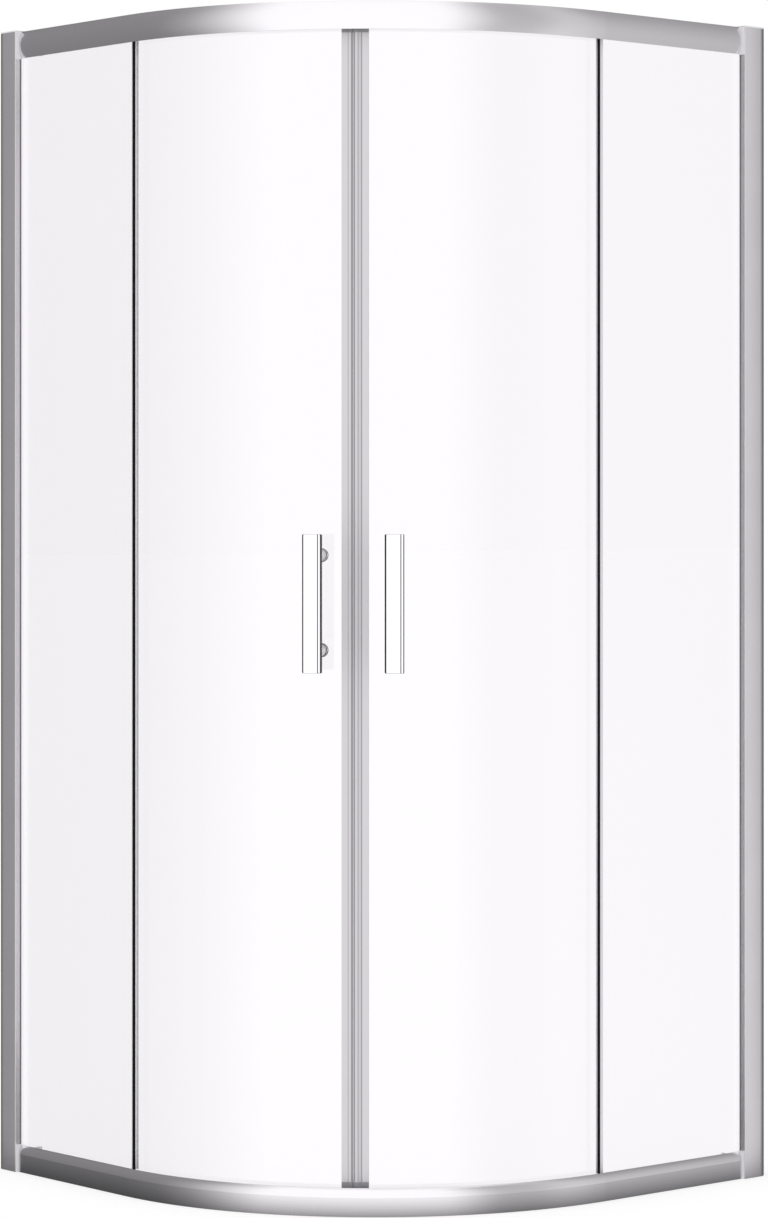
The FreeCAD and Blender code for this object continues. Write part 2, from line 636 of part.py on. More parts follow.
def handle_washer(z):
    r_foot = R_DOOR_OUT + FIT
    washer = rod(WASHER_R, r_foot, r_foot + WASHER_T, 0, z)
    return washer.cut(rod(HANDLE_SCREW_R + SCREW_HOLE_FIT, r_foot, r_foot + WASHER_T, 0, z))


def handle_cap_screw(z):
    """Flat cap on the cabin side with its screw, through the glass and the washer into the post."""
    r_seat = R_DOOR_IN - 2 * FIT
    cap = rod(INNER_CAP_R, r_seat - INNER_CAP_T, r_seat, 0, z)
    rims = [e for e in cap.Edges if len(e.Vertexes) == 1 and
            abs(e.Vertexes[0].Point.y - spot(0, r_seat - INNER_CAP_T, 0).y) < FIT]
    cap = cap.makeFillet(INNER_CAP_ROUND, rims)
    screw_end = R_DOOR_OUT + FIT + WASHER_T + HANDLE_SCREW_IN - RUN_CLEAR
    return cap.fuse(rod(HANDLE_SCREW_R, r_seat, screw_end, 0, z))


def wheel(radius, bore, z):
    """Nylon wheel with a raised hub and rim, its axle pointing at the bend's centre line."""
    rim = radius - RIM_W
    profile = [
        (bore, 0), (HUB_R + bore - TOP_PIN_R, 0), (HUB_R + bore - TOP_PIN_R, WHEEL_RECESS), (rim, WHEEL_RECESS),
        (rim, 0), (radius - RIM_CHAMFER, 0), (radius, RIM_CHAMFER), (radius, WHEEL_W - RIM_CHAMFER),
        (radius - RIM_CHAMFER, WHEEL_W), (rim, WHEEL_W), (rim, WHEEL_W - WHEEL_RECESS),
        (HUB_R + bore - TOP_PIN_R, WHEEL_W - WHEEL_RECESS), (HUB_R + bore - TOP_PIN_R, WHEEL_W), (bore, WHEEL_W)]
    section = face(lambda out, across: spot(0, R_WHEEL_IN + across, z + out), profile)
    return section.revolve(spot(0, R_WHEEL_IN, z), Vector(0, -1, 0), 360)


def top_bracket():
    """Steel plate behind the door glass that carries the top wheel's axle."""
    low, high = TOP_SCREWS[0][1] - BRACKET_END, TOP_WHEEL_Z + BRACKET_END
    plate = block(-BRACKET_W / 2, BRACKET_W / 2, R_BRACKET_IN, R_BRACKET_OUT, low, high)
    corners = [e for e in plate.Edges if abs(e.tangentAt(e.FirstParameter).y) > 0.99]
    plate = plate.makeFillet(BRACKET_ROUND, corners)
    holes = [rod(ROLLER_SCREW_R + SHAFT_FIT, R_BRACKET_IN, R_BRACKET_OUT, t, z) for t, z in TOP_SCREWS]
    return plate.cut(holes + [rod(TOP_PIN_R + SHAFT_FIT, R_BRACKET_IN, R_BRACKET_OUT, 0, TOP_WHEEL_Z)])


def top_axle():
    """Riveted pin with a collar that keeps the wheel away from the bracket."""
    z = TOP_WHEEL_Z
    pin = rod(TOP_PIN_R, R_AXLE_END, R_BRACKET_OUT, 0, z)
    collar = rod(COLLAR_R, R_BRACKET_IN - COLLAR_L, R_BRACKET_IN, 0, z)
    return pin.fuse([collar, rod(PIN_HEAD_R, R_AXLE_END, R_AXLE_END + PIN_HEAD_T, 0, z)])


def roller_screw(t, z, r_end):
    head = rod(ROLLER_SCREW_HEAD_R, R_DOOR_OUT + FIT, R_DOOR_OUT + FIT + ROLLER_SCREW_HEAD_T, t, z)
    return head.fuse(rod(ROLLER_SCREW_R, r_end, R_DOOR_OUT + FIT, t, z))


def low_housing():
    """Moulded block behind the door glass: a T slot for the slider, with room above it for the spring."""
    r_in = R_BRACKET_OUT - HOUSING_T
    roof = HOUSING_Z + HOUSING_H - CAVITY_ROOF
    body = block(-HOUSING_W / 2, HOUSING_W / 2, r_in, R_BRACKET_OUT, HOUSING_Z, HOUSING_Z + HOUSING_H)
    corners = [e for e in body.Edges if abs(e.tangentAt(e.FirstParameter).y) > 0.99]
    body = body.makeFillet(BRACKET_ROUND / 2, corners)
    cavity = block(-CAVITY_W / 2, CAVITY_W / 2, r_in + SLOT_LIP, R_BRACKET_OUT - CAVITY_BACK, HOUSING_Z, roof)
    slot = block(-SLOT_W / 2, SLOT_W / 2, r_in, r_in + SLOT_LIP, HOUSING_Z, roof)
    screws = [rod(ROLLER_SCREW_R + SHAFT_FIT, LOW_SCREW_END - FIT, R_BRACKET_OUT, t, z) for t, z in LOW_SCREWS]
    return body.cut([cavity, slot] + screws)


def slider():
    """Spring-loaded slider with the low wheel's pin and the tab that lifts it."""
    z_pin = LOW_WHEEL_Z
    r_mouth = R_BRACKET_OUT - HOUSING_T
    r_neck = R_WHEEL_OUT + WHEEL_PLAY
    half = CAVITY_W / 2 - SLIDER_FIT
    foot = block(-half, half, r_mouth + SLOT_LIP + SLIDER_FIT, R_BRACKET_OUT - CAVITY_BACK - SLIDER_FIT,
                 SLIDER_Z, SLIDER_TOP)
    neck_half = SLOT_W / 2 - SLIDER_FIT
    neck = block(-neck_half, neck_half, r_neck, r_mouth + SLOT_LIP + SLIDER_FIT, SLIDER_Z, SLIDER_TOP)
    tab_z = z_pin + LOW_WHEEL_R + TAB_OVER_WHEEL
    tab = block(-TAB_W / 2, TAB_W / 2, R_WHEEL_IN, r_neck, tab_z, tab_z + TAB_T)
    tab_web = block(-neck_half, neck_half, r_neck - RIM_CHAMFER, r_neck, tab_z - TAB_T / 2, tab_z)
    pin = rod(LOW_PIN_R, R_AXLE_END, r_neck, 0, z_pin)
    head = rod(PIN_HEAD_R - LOW_PIN_R / 2, R_AXLE_END, R_AXLE_END + PIN_HEAD_T, 0, z_pin)
    return foot.fuse([neck, tab, tab_web, pin, head]).removeSplitter()


def release_spring():
    """Coil spring between the slider and the housing's roof."""
    r_low = R_BRACKET_OUT - HOUSING_T + SLOT_LIP
    r_high = R_BRACKET_OUT - CAVITY_BACK
    z_low = SLIDER_TOP + FIT
    height = HOUSING_Z + HOUSING_H - CAVITY_ROOF - FIT - z_low - 2 * SPRING_WIRE_R
    coil_r = (r_high - r_low) / 2 - SLIDER_FIT - SPRING_WIRE_R
    helix = Part.makeHelix(height / SPRING_COILS, height, coil_r)
    wire = Part.Wire(Part.makeCircle(SPRING_WIRE_R, Vector(coil_r, 0, 0), Vector(0, 1, 0)))
    spring = Part.Wire(helix).makePipeShell([wire], True, True)
    spring.translate(spot(0, (r_low + r_high) / 2, z_low + SPRING_WIRE_R))
    return spring


TAIL_ANGLE = -degrees(OVERLAP - FIXED_PAST - TAIL_END_T, R_DOOR_MID)
HANDLE_ANGLE = JOINT_ANGLE - degrees(HANDLE_FROM_JOINT, R_DOOR_MID)
ROLLER_ANGLES = (LEAD_ROLLER, TAIL_ROLLER)
TOP_SCREWS = [(t, DOOR_TOP - TOP_SCREW_DOWN) for t in (-TOP_SCREW_T, TOP_SCREW_T)]
LOW_SCREWS = [(t, HOUSING_Z + HOUSING_SCREW_UP) for t in (-HOUSING_SCREW_T, HOUSING_SCREW_T)]
LOW_SCREW_END = R_BRACKET_OUT - HOUSING_T + SLOT_LIP

LEFT_STRIP = (CLOSING_LINE + RUN_GAP / 2, LEFT_NOSE_W, LEFT_NOSE_RISE, LEFT_CLIP_L)
RIGHT_STRIP = (RUN_GAP / 2 - CLOSING_LINE, RIGHT_NOSE_W, RIGHT_NOSE_RISE, RIGHT_CLIP_L)

pieces = {}

# Frame: wall profiles, posts and the two bent rails
on_both_sides("wall_profile", make_wall_profile())
on_both_sides("side_post", make_post())
pieces["post_top_caps"] = for_both_sides([make_post_cap()])
pieces["top_rail"] = make_top_rail()
pieces["bottom_rail"] = make_bottom_rail()
pieces["top_rail_end_caps"] = for_both_sides([end_cap(
    top_front, RAIL_UNDER - END_CAP_EDGE, RAIL_TOP, RAIL_UNDER + WEB_SHORT, RAIL_TOP,
    RAIL_UNDER - END_CAP_EDGE, FIXED_TOP + FIT, TOP_PORTS)])
pieces["bottom_rail_end_caps"] = for_both_sides([end_cap(
    bottom_front, 0, RAIL_H + END_CAP_EDGE, 0, RAIL_H - WEB_SHORT,
    FIXED_Z - FIT, RAIL_H + END_CAP_EDGE, BOTTOM_PORTS)])
pieces["rail_screws"] = for_both_sides([rail_screw(z) for z in TOP_PORTS + BOTTOM_PORTS])
pieces["adjuster_screws"] = for_both_sides([adjuster_screw(z) for z in ADJUST_HEIGHTS])
pieces["adjuster_cover_caps"] = for_both_sides([cover_cap(z) for z in ADJUST_HEIGHTS])
pieces["door_stops"] = for_both_sides([door_stop()])

# Fixed glass and what holds and trims it
on_both_sides("fixed_glass", block(A_GLASS - FLAT, FIXED_PAST, R_FIXED_IN, R_FIXED_OUT, FIXED_Z, FIXED_TOP))
pieces["post_gaskets"] = for_both_sides([make_post_gasket()])
pieces["edge_trims"] = for_both_sides([block(
    FIXED_PAST, FIXED_PAST + TRIM_T, R_FIXED_IN, R_FIXED_OUT, FIXED_Z, FIXED_TOP)])
pieces["glazing_beads"] = for_both_sides(glazing_beads())
pieces["setting_blocks"] = for_both_sides(setting_blocks())

# Doors
for side, strip, placed in (("left", LEFT_STRIP, Part.Shape.copy), ("right", RIGHT_STRIP, mirrored)):
    cap_low, cap_high = STRIP_Z + STRIP_CAP_BOTTOM, STRIP_TOP - STRIP_CAP_TOP
    caps = [closing_strip(strip, STRIP_Z, cap_low), closing_strip(strip, cap_high, STRIP_TOP)]
    pieces[side + "_door_glass"] = placed(door_glass(strip))
    pieces[side + "_closing_strip"] = placed(closing_strip(strip, cap_low, cap_high))
    pieces[side + "_closing_strip_caps"] = placed(Part.makeCompound(caps))
on_both_sides("tail_strip", tail_strip())

# Handles
on_both_sides("handle_bar", turned(handle_bar(), HANDLE_ANGLE))
on_both_sides("handle_posts", *[turned(handle_post(z), HANDLE_ANGLE) for z in handle_heights()])
on_both_sides("handle_washers", *[turned(handle_washer(z), HANDLE_ANGLE) for z in handle_heights()])
on_both_sides("handle_cap_screws", *[turned(handle_cap_screw(z), HANDLE_ANGLE) for z in handle_heights()])

# Rollers
on_both_sides("top_roller_brackets", *[turned(top_bracket(), angle) for angle in ROLLER_ANGLES])
on_both_sides("top_roller_axles", *[turned(top_axle(), angle) for angle in ROLLER_ANGLES])
on_both_sides("low_roller_housings", *[turned(low_housing(), angle) for angle in ROLLER_ANGLES])
on_both_sides("roller_screws", *[
    turned(roller_screw(t, z, r_end), angle) for angle in ROLLER_ANGLES
    for screws, r_end in ((TOP_SCREWS, R_BRACKET_IN), (LOW_SCREWS, LOW_SCREW_END)) for t, z in screws])
for place, angle in (("lead", LEAD_ROLLER), ("tail", TAIL_ROLLER)):
    on_both_sides(f"top_{place}_wheel", turned(wheel(TOP_WHEEL_R, TOP_PIN_R + SHAFT_FIT, TOP_WHEEL_Z), angle))
    on_both_sides(f"low_{place}_wheel", turned(wheel(LOW_WHEEL_R, LOW_PIN_R + SHAFT_FIT, LOW_WHEEL_Z), angle))
    on_both_sides(f"low_{place}_slider", turned(slider(), angle))
    on_both_sides(f"low_{place}_spring", turned(release_spring(), angle))

os.makedirs("parts", exist_ok=True)
for name, shape in pieces.items():
    shape.exportStep(f"parts/{name}.step")
print(f"{len(pieces)} nodes, {sum(len(shape.Solids) for shape in pieces.values())} solids")
print(f"post {POST_W:.1f} x {POST_DEPTH:.2f}, rail depth {BEND_R - R_RAIL_IN:.2f}, half {HALF:.2f}")
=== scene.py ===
"""Quadrant shower enclosure: two fixed panes, two sliding curved doors, in bright and satin aluminium.

Lengths are in metres, except where a name or a comment gives another unit.
"""

import math

import bmesh
import bpy
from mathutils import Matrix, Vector


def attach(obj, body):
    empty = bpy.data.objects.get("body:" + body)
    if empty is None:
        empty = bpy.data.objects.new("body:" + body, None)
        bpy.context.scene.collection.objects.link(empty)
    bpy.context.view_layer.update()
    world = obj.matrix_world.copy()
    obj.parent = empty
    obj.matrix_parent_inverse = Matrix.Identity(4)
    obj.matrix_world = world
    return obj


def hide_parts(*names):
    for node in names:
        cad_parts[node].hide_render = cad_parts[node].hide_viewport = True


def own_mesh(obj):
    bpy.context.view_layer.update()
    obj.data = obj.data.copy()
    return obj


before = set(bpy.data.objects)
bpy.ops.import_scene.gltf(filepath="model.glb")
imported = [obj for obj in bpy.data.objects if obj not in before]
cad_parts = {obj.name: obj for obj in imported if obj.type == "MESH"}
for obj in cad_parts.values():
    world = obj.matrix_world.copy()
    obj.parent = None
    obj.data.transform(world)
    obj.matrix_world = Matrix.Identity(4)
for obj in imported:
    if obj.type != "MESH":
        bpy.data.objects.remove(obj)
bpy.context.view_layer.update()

# ---------------------------------------------------------------------------------------------
# Posts and wall profiles. Straight aluminium extrusions, etched and anodised to a satin silver.
# The U-shaped profile is screwed to the wall and the hollow post slides over it.


def linear(hex_colour):
    """An sRGB hex colour as the linear RGBA that the shaders take."""
    channels = [int(hex_colour[i:i + 2], 16) / 255 for i in (1, 3, 5)]
    return [c / 12.92 if c <= 0.04045 else ((c + 0.055) / 1.055) ** 2.4 for c in channels] + [1.0]


def add(tree, kind, inputs=None, **settings):
    """Adds one node. An input is set to a value, or linked where it is given another node's output."""
    node = tree.nodes.new(kind)
    for name, value in settings.items():
        setattr(node, name, value)
    for key, value in (inputs or {}).items():
        if isinstance(value, bpy.types.NodeSocket):
            tree.links.new(value, node.inputs[key])
        else:
            node.inputs[key].default_value = value
    return node


def new_material(name, **constants):
    """A material with one shader, whose constant inputs are set on its own sockets."""
    material = bpy.data.materials.new(name)
    material.use_nodes = True
    shader = material.node_tree.nodes["Principled BSDF"]
    for key, value in constants.items():
        shader.inputs[key.replace("_", " ")].default_value = value
    return material, material.node_tree, shader


def stops(ramp, positions_and_colours):
    """Sets a Color Ramp node's stops: (position from 0 to 1, colour)."""
    elements = ramp.color_ramp.elements
    while len(elements) > 1:
        elements.remove(elements[-1])
    for i, (position, colour) in enumerate(positions_and_colours):
        element = elements[0] if i == 0 else elements.new(position)
        element.position = position
        element.color = colour


def place_on(tree):
    """The shaded point's place in metres, in its piece's own frame. A CAD node's own frame is the model's."""
    return add(tree, "ShaderNodeTexCoord").outputs["Object"]


def finish_nodes(material, *names):
    """Gives CAD nodes this material in all their slots."""
    for name in names:
        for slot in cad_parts[name].material_slots:
            slot.material = material


def mottle(tree, shader, factor, low, high):
    """Colour that wavers a little between two close tones."""
    mix = add(tree, "ShaderNodeMix", {
        "Factor": factor, "A": linear(low), "B": linear(high)}, data_type="RGBA")
    tree.links.new(mix.outputs["Result"], shader.inputs["Base Color"])


def lines_along(tree, shader, vector, spacing_mm, bump_um, rough_low, rough_high):
    """Faint die lines along an extrusion: noise that varies across it only, in bump and roughness."""
    lines = add(tree, "ShaderNodeTexNoise", {"Vector": vector, "Scale": 1000 / spacing_mm, "Detail": 2.0})
    bump = add(tree, "ShaderNodeBump", {
        "Height": lines.outputs["Fac"], "Strength": 1.0, "Distance": bump_um * 1e-6})
    tree.links.new(bump.outputs["Normal"], shader.inputs["Normal"])
    # Most of the noise lies between 0.3 and 0.7.
    blur = add(tree, "ShaderNodeMapRange", {
        "Value": lines.outputs["Fac"], "From Min": 0.3, "From Max": 0.7,
        "To Min": rough_low, "To Max": rough_high})
    tree.links.new(blur.outputs["Result"], shader.inputs["Roughness"])
    return bump


CROWN_R = 0.17           # radius of the front's slight crown
CROWN_AT = 0.420         # its ridge, from the middle of the enclosure towards the wall
CLOUD_MM = 90            # size of the clouds that the anodising bath leaves

# Satin anodised aluminium: the etched surface blurs what it mirrors and scatters a little light of its own.
satin, tree, shader = new_material("satin_anodised_aluminium", Metallic=0.85)
place = place_on(tree)
across_post = add(tree, "ShaderNodeVectorMath", {0: place, 1: (1.0, 1.0, 0.0)}, operation="MULTIPLY")
# Die lines of about 1.5 mm, coarser than the real 0.1 mm ones, so that they show.
die_lines = lines_along(tree, shader, across_post.outputs["Vector"],
                        spacing_mm=1.5, bump_um=4, rough_low=0.20, rough_high=0.27)
# The die leaves the front very slightly crowned, so its tone changes from the glass to the wall.
split = add(tree, "ShaderNodeSeparateXYZ", {"Vector": place})
west = add(tree, "ShaderNodeMath", {0: split.outputs["X"], 1: -1.0}, operation="MULTIPLY")
to_wall = add(tree, "ShaderNodeMath", {0: west.outputs["Value"], 1: split.outputs["Y"]},
              operation="MAXIMUM")
off_ridge = add(tree, "ShaderNodeMath", {0: to_wall.outputs["Value"], 1: CROWN_AT}, operation="SUBTRACT")
fall = add(tree, "ShaderNodeMath", {0: off_ridge.outputs["Value"], 1: off_ridge.outputs["Value"]},
           operation="MULTIPLY")
crowned = add(tree, "ShaderNodeBump", {
    "Height": fall.outputs["Value"], "Strength": 1.0, "Distance": 1 / (2 * CROWN_R)}, invert=True)
tree.links.new(crowned.outputs["Normal"], die_lines.inputs["Normal"])
tone = add(tree, "ShaderNodeTexNoise", {"Vector": place, "Scale": 1000 / CLOUD_MM, "Detail": 1.0})
mottle(tree, shader, tone.outputs["Fac"], "#E6E3E7", "#EEEBEF")
finish_nodes(satin, "left_side_post", "right_side_post", "left_wall_profile", "right_wall_profile")

# ---------------------------------------------------------------------------------------------
# Rails. Two aluminium extrusions bent to the quadrant, chemically brightened before anodising, so
# that they mirror softly; the top one carries the doors, the bottom one holds the glass down.

BEND_CENTRE = (-0.0885, 0.0885, 0.0)
BEND_R = 0.530           # front of the bottom rail, from the bend's centre line


def from_bend_centre(tree):
    """A node whose outputs X, Y and Z are the shaded point's place from the bend's centre."""
    offset = add(tree, "ShaderNodeVectorMath", {0: place_on(tree), 1: BEND_CENTRE}, operation="SUBTRACT")
    return add(tree, "ShaderNodeSeparateXYZ", {"Vector": offset.outputs["Vector"]})


def across_rail(tree):
    """A point's place in the rail's section: its distance from the bend's centre line and its height."""
    split = from_bend_centre(tree)
    east = add(tree, "ShaderNodeMath", {0: split.outputs["X"], 1: 0.0}, operation="MAXIMUM")
    south = add(tree, "ShaderNodeMath", {0: split.outputs["Y"], 1: 0.0}, operation="MINIMUM")
    flat = add(tree, "ShaderNodeCombineXYZ", {"X": east.outputs["Value"], "Y": south.outputs["Value"]})
    radius = add(tree, "ShaderNodeVectorMath", {0: flat.outputs["Vector"]}, operation="LENGTH")
    return radius.outputs["Value"], split.outputs["Z"]


# Bright anodised aluminium: nearly a mirror, softened by the oxide layer and faint die lines.
bright, tree, shader = new_material(
    "bright_anodised_aluminium", Base_Color=linear("#F0EDF1"), Metallic=1.0)
radius, height = across_rail(tree)
section_place = add(tree, "ShaderNodeCombineXYZ", {"X": radius, "Z": height})
# Die lines of about 2 mm, coarser than the real 0.1 mm ones, so that they show.
lines_along(tree, shader, section_place.outputs["Vector"],
            spacing_mm=2.0, bump_um=1.5, rough_low=0.17, rough_high=0.20)
finish_nodes(bright, "top_rail", "bottom_rail")

# ---------------------------------------------------------------------------------------------
# Post caps, rail end caps and the covers of the adjuster screws. Injection-moulded ABS in light
# grey; the end caps are clamped between rail and post, the others press on.


def grain(tree, shader, size_mm, depth_um):
    """Fine moulded or etched grain, as bump. Returns the noise, for tone and gloss to go with it."""
    texture = add(tree, "ShaderNodeTexNoise", {
        "Vector": place_on(tree), "Scale": 1000 / size_mm, "Detail": 3.0})
    bump = add(tree, "ShaderNodeBump", {
        "Height": texture.outputs["Fac"], "Strength": 1.0, "Distance": depth_um * 1e-6})
    tree.links.new(bump.outputs["Normal"], shader.inputs["Normal"])
    return texture.outputs["Fac"]


# Moulded ABS: an even pale grey with the fine spark-eroded grain of its mould, 1 mm here so that it shows.
abs_grey, tree, shader = new_material("moulded_abs", Roughness=0.38)
mottle(tree, shader, grain(tree, shader, size_mm=1.0, depth_um=15), "#DEDEE1", "#E6E6E8")
finish_nodes(abs_grey, "post_top_caps", "top_rail_end_caps", "bottom_rail_end_caps", "adjuster_cover_caps")

# ---------------------------------------------------------------------------------------------
# Screws of the frame. Pan-head stainless steel screws: through the posts into the rails' ports,
# and through the posts into the wall profiles.


def uneven_gloss(tree, shader, factor, low, high):
    """Roughness that wavers between two values."""
    blur = add(tree, "ShaderNodeMapRange", {"Value": factor, "To Min": low, "To Max": high})
    tree.links.new(blur.outputs["Result"], shader.inputs["Roughness"])


# Stainless steel: a cool grey metal, tumbled, so its highlights are broad.
steel, tree, shader = new_material("tumbled_stainless_steel", Metallic=1.0)
tumbled = grain(tree, shader, size_mm=0.6, depth_um=6)
uneven_gloss(tree, shader, tumbled, 0.22, 0.40)
mottle(tree, shader, tumbled, "#C4C3C1", "#D0CFCD")
finish_nodes(steel, "rail_screws", "adjuster_screws")

# ---------------------------------------------------------------------------------------------
# Seals and blocks of the fixed glass, and the door stops. Extruded and cut rubber: U gaskets in
# the posts, blocks under the panes, buffers that the open doors meet.

# Grey EPDM rubber: matt mid grey with a soft sheen and a bloom that makes it uneven.
rubber, tree, shader = new_material("grey_epdm_rubber", Roughness=0.62)
mottle(tree, shader, grain(tree, shader, size_mm=1.5, depth_um=25), "#6C6B6F", "#7A797D")
finish_nodes(rubber, "post_gaskets", "setting_blocks", "door_stops")

# ---------------------------------------------------------------------------------------------
# Fixed and door glass. 5 mm toughened safety glass, clear, with ground edges; the doors' panes are
# bent before toughening. The fixed panes stand in the posts and rails, the doors hang on rollers.

ROLLER_WAVE = 0.27       # metres from one wave of the glass to the next
ROLLER_DEPTH = 0.00004

# Toughened low-iron glass: clear, with hardly any tint, and the slow waves that the furnace rollers leave.
glass, tree, shader = new_material(
    "toughened_glass", Base_Color=linear("#FDFBFD"), Roughness=0.0, IOR=1.52, Transmission_Weight=1.0)
waves = add(tree, "ShaderNodeTexNoise", {
    "Vector": place_on(tree), "Scale": 1 / ROLLER_WAVE, "Detail": 0.0})
bump = add(tree, "ShaderNodeBump", {
    "Height": waves.outputs["Fac"], "Strength": 1.0, "Distance": ROLLER_DEPTH})
tree.links.new(bump.outputs["Normal"], shader.inputs["Normal"])
panes = ("left_fixed_glass", "right_fixed_glass", "left_door_glass", "right_door_glass")
finish_nodes(glass, *panes)
for name in panes:
    # Light passes through the panes, so they cast no shadow and don't darken what stands behind them.
    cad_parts[name].visible_shadow = False
    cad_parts[name].visible_diffuse = False

# ---------------------------------------------------------------------------------------------
# Edge trims and glazing beads of the fixed glass. The trim is a black strip along the free edge;
# the beads are clear extruded PVC, pressed between glass and rail.

# Black PVC: deep, even and nearly matt.
black, tree, shader = new_material("black_pvc_trim", Roughness=0.6, Specular_IOR_Level=0.25)
mottle(tree, shader, grain(tree, shader, size_mm=2.0, depth_um=10), "#08080A", "#0F0F12")
finish_nodes(black, "edge_trims")

# Clear flexible PVC: milky and glossy, it lets light through without showing what is behind.
clear_pvc, tree, shader = new_material(
    "clear_flexible_pvc", Roughness=0.28, IOR=1.53, Transmission_Weight=0.45)
mottle(tree, shader, grain(tree, shader, size_mm=3.0, depth_um=12), "#E4E6E8", "#EEF0F1")
finish_nodes(clear_pvc, "glazing_beads")

# ---------------------------------------------------------------------------------------------
# Closing strips. Soft PVC profiles that clip over the doors' leading edges and hold a magnet in a
# bowed pocket, so that the doors pull together; moulded caps close both ends.

STRIP_R = 0.507          # middle of the door glass
STRIPS_FROM = -24.0      # mm along the glass from the bend's middle, left edge of the pattern
STRIPS_TO = 19.0         # right edge of the pattern
CLIP_GREY = "#D8D5D9"
# Lines of painted shade and one painted highlight across the closed pair, left to right: middle and half
# width in mm, colour.
# Painted shade at the left pocket's root, at the two seams of the magnets' pockets, in the right pocket's
# hollow and at its root; a painted highlight on the clip's lip.
PAINTED_STRIP_LINES = ((-12.9, 1.3, "#B4B1B5"), (-7.4, 1.7, "#77757A"), (-3.4, 1.7, "#7F7D82"),
               (2.4, 2.3, "#AFADB1"), (7.4, 1.6, "#908E93"), (9.4, 0.4, "#EDEBEF"))


def strip_painted_tones(tree):
    """Colour by the place across the closed strips: the clips' grey with lines of painted shade and one
    painted highlight.
    """
    split = from_bend_centre(tree)
    south = add(tree, "ShaderNodeMath", {0: split.outputs["Y"], 1: -1.0}, operation="MULTIPLY")
    angle = add(tree, "ShaderNodeMath", {0: split.outputs["X"], 1: south.outputs["Value"]},
                operation="ARCTAN2")
    along = add(tree, "ShaderNodeMapRange", {
        "Value": angle.outputs["Value"],
        "From Min": math.pi / 4 + STRIPS_FROM / 1000 / STRIP_R,
        "From Max": math.pi / 4 + STRIPS_TO / 1000 / STRIP_R})
    ramp = add(tree, "ShaderNodeValToRGB", {"Fac": along.outputs["Result"]})
    tones = [(STRIPS_FROM, CLIP_GREY)]
    for middle, half, colour in PAINTED_STRIP_LINES:
        tones += [(middle - half, CLIP_GREY), (middle, colour), (middle + half, CLIP_GREY)]
    stops(ramp, [((mm - STRIPS_FROM) / (STRIPS_TO - STRIPS_FROM), linear(colour)) for mm, colour in tones])
    return ramp.outputs["Color"]


# Soft PVC over a magnet: the clips are a plain light grey; the pockets carry lines of painted shade at their
# seams and roots, and the clip's lip a thin painted highlight.
magnet_pvc, tree, shader = new_material("soft_pvc_magnet_strip", Roughness=0.34)
tree.links.new(strip_painted_tones(tree), shader.inputs["Base Color"])
grain(tree, shader, size_mm=2.5, depth_um=12)
finish_nodes(magnet_pvc, "left_closing_strip", "right_closing_strip")

# Moulded end caps of the strips: a harder, darker PVC.
strip_cap, tree, shader = new_material("moulded_pvc_strip_cap", Roughness=0.5)
mottle(tree, shader, grain(tree, shader, size_mm=1.0, depth_um=15), "#97979A", "#A1A1A4")
finish_nodes(strip_cap, "left_closing_strip_caps", "right_closing_strip_caps")

# ---------------------------------------------------------------------------------------------
# Tail strips. Plain soft PVC profiles over the doors' trailing edges, which seal against the
# fixed glass.

# Soft PVC: light grey, satin, slightly uneven along its length.
soft_pvc, tree, shader = new_material("soft_pvc_seal", Roughness=0.36)
mottle(tree, shader, grain(tree, shader, size_mm=4.0, depth_um=12), "#E6E5E8", "#ECEBEE")
finish_nodes(soft_pvc, "left_tail_strip", "right_tail_strip")

# ---------------------------------------------------------------------------------------------
# Handles. Chrome-plated brass bars on two round feet each, bolted through the glass with cap screws
# inside. The bar is milled flat, with chamfered long edges and a fine groove near its right side.

BAR_HALF_W = 0.01475
BAR_HALF_L = 0.105
BAR_T = 0.010
BAR_BACK_R = 0.562         # back of the bar, from the bend's centre line
BAR_Z = 0.932              # middle of the bar
LEFT_CHAMFER = 0.0024
RIGHT_CHAMFER = 0.0015
BACK_CHAMFER = 0.0010
GROOVE_IN = 0.0052         # groove, from the bar's right side
GROOVE_W = 0.0013
GROOVE_D = 0.0007
END_R = 0.0015             # rounding of the ends
END_STEPS = 4
BREAK = 0.00015            # edges broken by polishing
SHARP = math.radians(28)   # an edge that turns by more than this stays an edge
HANDLE_ALONG = 0.056       # middle of a bar from the middle of the bend, along the glass
PAINTED_SHADE_SIDES = (1, 3, 4, 5, 7)    # sides of the outline with the painted shade: the front chamfers and the groove


def bar_outline(inset):
    """Section of the bar, (across, out) from its back middle, drawn in by inset towards the rounded ends."""
    half, back, front = BAR_HALF_W - inset, inset, BAR_T - inset
    groove = BAR_HALF_W - GROOVE_IN
    return [(half, back + BACK_CHAMFER), (half, front - RIGHT_CHAMFER), (half - RIGHT_CHAMFER, front),
            (groove + GROOVE_W / 2, front), (groove + GROOVE_W / 4, front - GROOVE_D),
            (groove - GROOVE_W / 4, front - GROOVE_D), (groove - GROOVE_W / 2, front),
            (-half + LEFT_CHAMFER, front), (-half, front - LEFT_CHAMFER),
            (-half, back + BACK_CHAMFER), (-half + BACK_CHAMFER, back), (half - BACK_CHAMFER, back)]


def object_from(mesh, name):
    """A finished bmesh as an object in the scene."""
    data = bpy.data.meshes.new(name)
    mesh.to_mesh(data)
    mesh.free()
    made = bpy.data.objects.new(name, data)
    bpy.context.scene.collection.objects.link(made)
    return made


